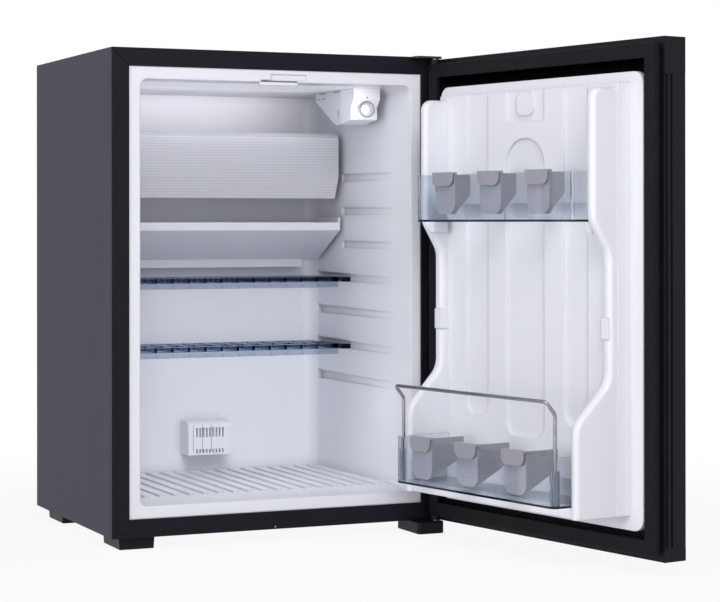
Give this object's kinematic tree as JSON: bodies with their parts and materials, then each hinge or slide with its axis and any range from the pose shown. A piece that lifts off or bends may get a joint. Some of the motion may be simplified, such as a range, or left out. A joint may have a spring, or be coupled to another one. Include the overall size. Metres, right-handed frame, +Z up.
{
  "type": "minibar fridge",
  "caption": "Compact absorption minibar with a side-hinged open door, grooved white liner, finned evaporator, sliding grid shelves and lift-out clear door racks with bottle clips.",
  "frame": {"origin": "on the floor, under the middle of the box round the part with its door open as stored", "axes": "+Z up, -Y out of the cabinet's mouth, +X to the hinge side as seen from the front"},
  "size_m": [0.4976, 0.774, 0.56],
  "materials": {
    "charcoal_vinyl_steel": "vinyl-coated sheet with a faint vertical grain",
    "black_plastic": "satin black moulding",
    "white_plastic": "smooth white vacuum-formed liner",
    "frosted_plastic": "frosted lamp cover",
    "smoke_clear_plastic": "clear smoke-tinted moulding",
    "grey_plastic": "satin grey moulding",
    "black_rubber": "soft magnetic seal",
    "chrome_wire": "polished wire",
    "foam": "rigid foam",
    "galvanised_steel": "plain galvanised sheet",
    "black_steel": "black lacquered steel",
    "white_aluminium": "pale coated fins",
    "bright_steel": "bright steel"
  },
  "bodies": {
    "cabinet": {"outer_wrap": "charcoal_vinyl_steel", "base_plate": "galvanised_steel", "rear_panel": "galvanised_steel", "insulation": "foam", "inner_liner": "white_plastic", "frame_top": "black_plastic", "frame_bottom": "black_plastic", "frame_left": "black_plastic", "frame_right": "black_plastic", "hinge_hole_covers": "black_plastic", "upper_hinge": "black_steel", "lower_hinge": "black_plastic", "hinge_pins": "bright_steel", "front_foot": "black_plastic", "rear_feet": "black_plastic", "evaporator": "white_aluminium", "evaporator_tubes": "black_steel", "rear_plug": "foam", "plug_plate": "galvanised_steel", "drip_tray": "white_plastic", "control_housing": "white_plastic", "lamp_cover": "frosted_plastic", "vent_box": "white_plastic", "unit_brackets": "galvanised_steel", "boiler_casing": "galvanised_steel", "absorber_vessel": "black_steel", "absorber_coil": "black_steel", "vapour_pipe": "black_steel", "return_pipe": "black_steel", "solution_pipe": "black_steel", "condenser_fins": "black_steel", "terminal_box": "black_plastic", "plate_screws": "bright_steel", "hinge_screws": "black_steel"},
    "door": {"door_skin": "charcoal_vinyl_steel", "handle_profile": "black_plastic", "hinge_profile": "black_plastic", "top_cap": "black_plastic", "bottom_cap": "black_plastic", "door_foam": "foam", "door_liner": "white_plastic", "door_gasket": "black_rubber", "hinge_bushes": "white_plastic"},
    "upper_rack": {"upper_rack": "smoke_clear_plastic"},
    "lower_rack": {"lower_rack": "smoke_clear_plastic", "bottle_bail": "chrome_wire"},
    "shelf_upper": {"shelf_upper": "smoke_clear_plastic"},
    "shelf_lower": {"shelf_lower": "smoke_clear_plastic"},
    "knob": {"thermostat_knob": "white_plastic"},
    "upper_clip_1": {"upper_clip_1": "grey_plastic"},
    "upper_clip_2": {"upper_clip_2": "grey_plastic"},
    "upper_clip_3": {"upper_clip_3": "grey_plastic"},
    "lower_clip_1": {"lower_clip_1": "grey_plastic"},
    "lower_clip_2": {"lower_clip_2": "grey_plastic"},
    "lower_clip_3": {"lower_clip_3": "grey_plastic"}
  },
  "joints": [
    {"name": "door_hinge", "type": "hinge", "parent": "cabinet", "child": "door", "pos_m": [0.14459, -0.004, 0.014], "axis": [0, 0, 1], "range_deg": [-100.7, 19.3]},
    {"name": "shelf_upper_slide", "type": "slide", "parent": "cabinet", "child": "shelf_upper", "axis": [0, -1, 0], "range_m": [0, 0.15]},
    {"name": "shelf_lower_slide", "type": "slide", "parent": "cabinet", "child": "shelf_lower", "axis": [0, -1, 0], "range_m": [0, 0.15]},
    {"name": "thermostat_turn", "type": "hinge", "parent": "cabinet", "child": "knob", "pos_m": [0.08889, 0.076, 0.5005], "axis": [0, -1, 0], "range_deg": [-270, 0]},
    {"name": "upper_rack_lift", "type": "slide", "parent": "door", "child": "upper_rack", "axis": [0, 0, 1], "range_m": [0, 0.025]},
    {"name": "lower_rack_lift", "type": "slide", "parent": "door", "child": "lower_rack", "axis": [0, 0, 1], "range_m": [0, 0.025]},
    {"name": "upper_clip_1_slide", "type": "slide", "parent": "upper_rack", "child": "upper_clip_1", "axis": [-0.1857, 0.9826, 0], "range_m": [-0.02, 0.02]},
    {"name": "upper_clip_2_slide", "type": "slide", "parent": "upper_rack", "child": "upper_clip_2", "axis": [-0.1857, 0.9826, 0], "range_m": [-0.02, 0.02]},
    {"name": "upper_clip_3_slide", "type": "slide", "parent": "upper_rack", "child": "upper_clip_3", "axis": [-0.1857, 0.9826, 0], "range_m": [-0.02, 0.02]},
    {"name": "lower_clip_1_slide", "type": "slide", "parent": "lower_rack", "child": "lower_clip_1", "axis": [-0.1857, 0.9826, 0], "range_m": [-0.018, 0.018]},
    {"name": "lower_clip_2_slide", "type": "slide", "parent": "lower_rack", "child": "lower_clip_2", "axis": [-0.1857, 0.9826, 0], "range_m": [-0.018, 0.018]},
    {"name": "lower_clip_3_slide", "type": "slide", "parent": "lower_rack", "child": "lower_clip_3", "axis": [-0.1857, 0.9826, 0], "range_m": [-0.018, 0.018]}
  ]
}
